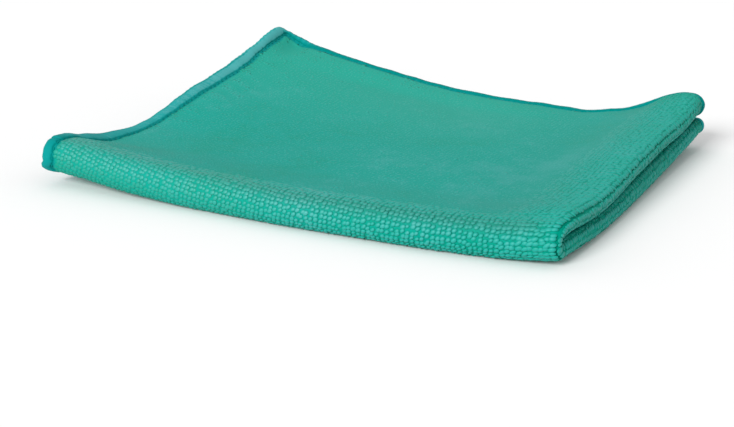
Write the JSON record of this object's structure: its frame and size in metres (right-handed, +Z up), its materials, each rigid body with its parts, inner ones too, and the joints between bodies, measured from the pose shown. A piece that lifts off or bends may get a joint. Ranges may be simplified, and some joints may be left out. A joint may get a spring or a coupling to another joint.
{
  "type": "microfibre cloth",
  "caption": "Looped cleaning cloth folded in quarters and lying flat, with rounded folds at the front and right and curled, hemmed corners at the back.",
  "frame": {"origin": "on the flat underside, in the middle of the folded cloth's outline, where it rests on the surface", "axes": "+Z up, away from the surface; +X along the front fold, from the hemmed left side to the folded right side; +Y from the front fold to the hemmed back"},
  "size_m": [0.1824, 0.1654, 0.0321],
  "materials": {
    "microfibre": "matt looped pile with a soft sheen",
    "hem_thread": "satin overlock thread"
  },
  "bodies": {
    "root": {"cloth": "microfibre"}
  },
  "joints": []
}
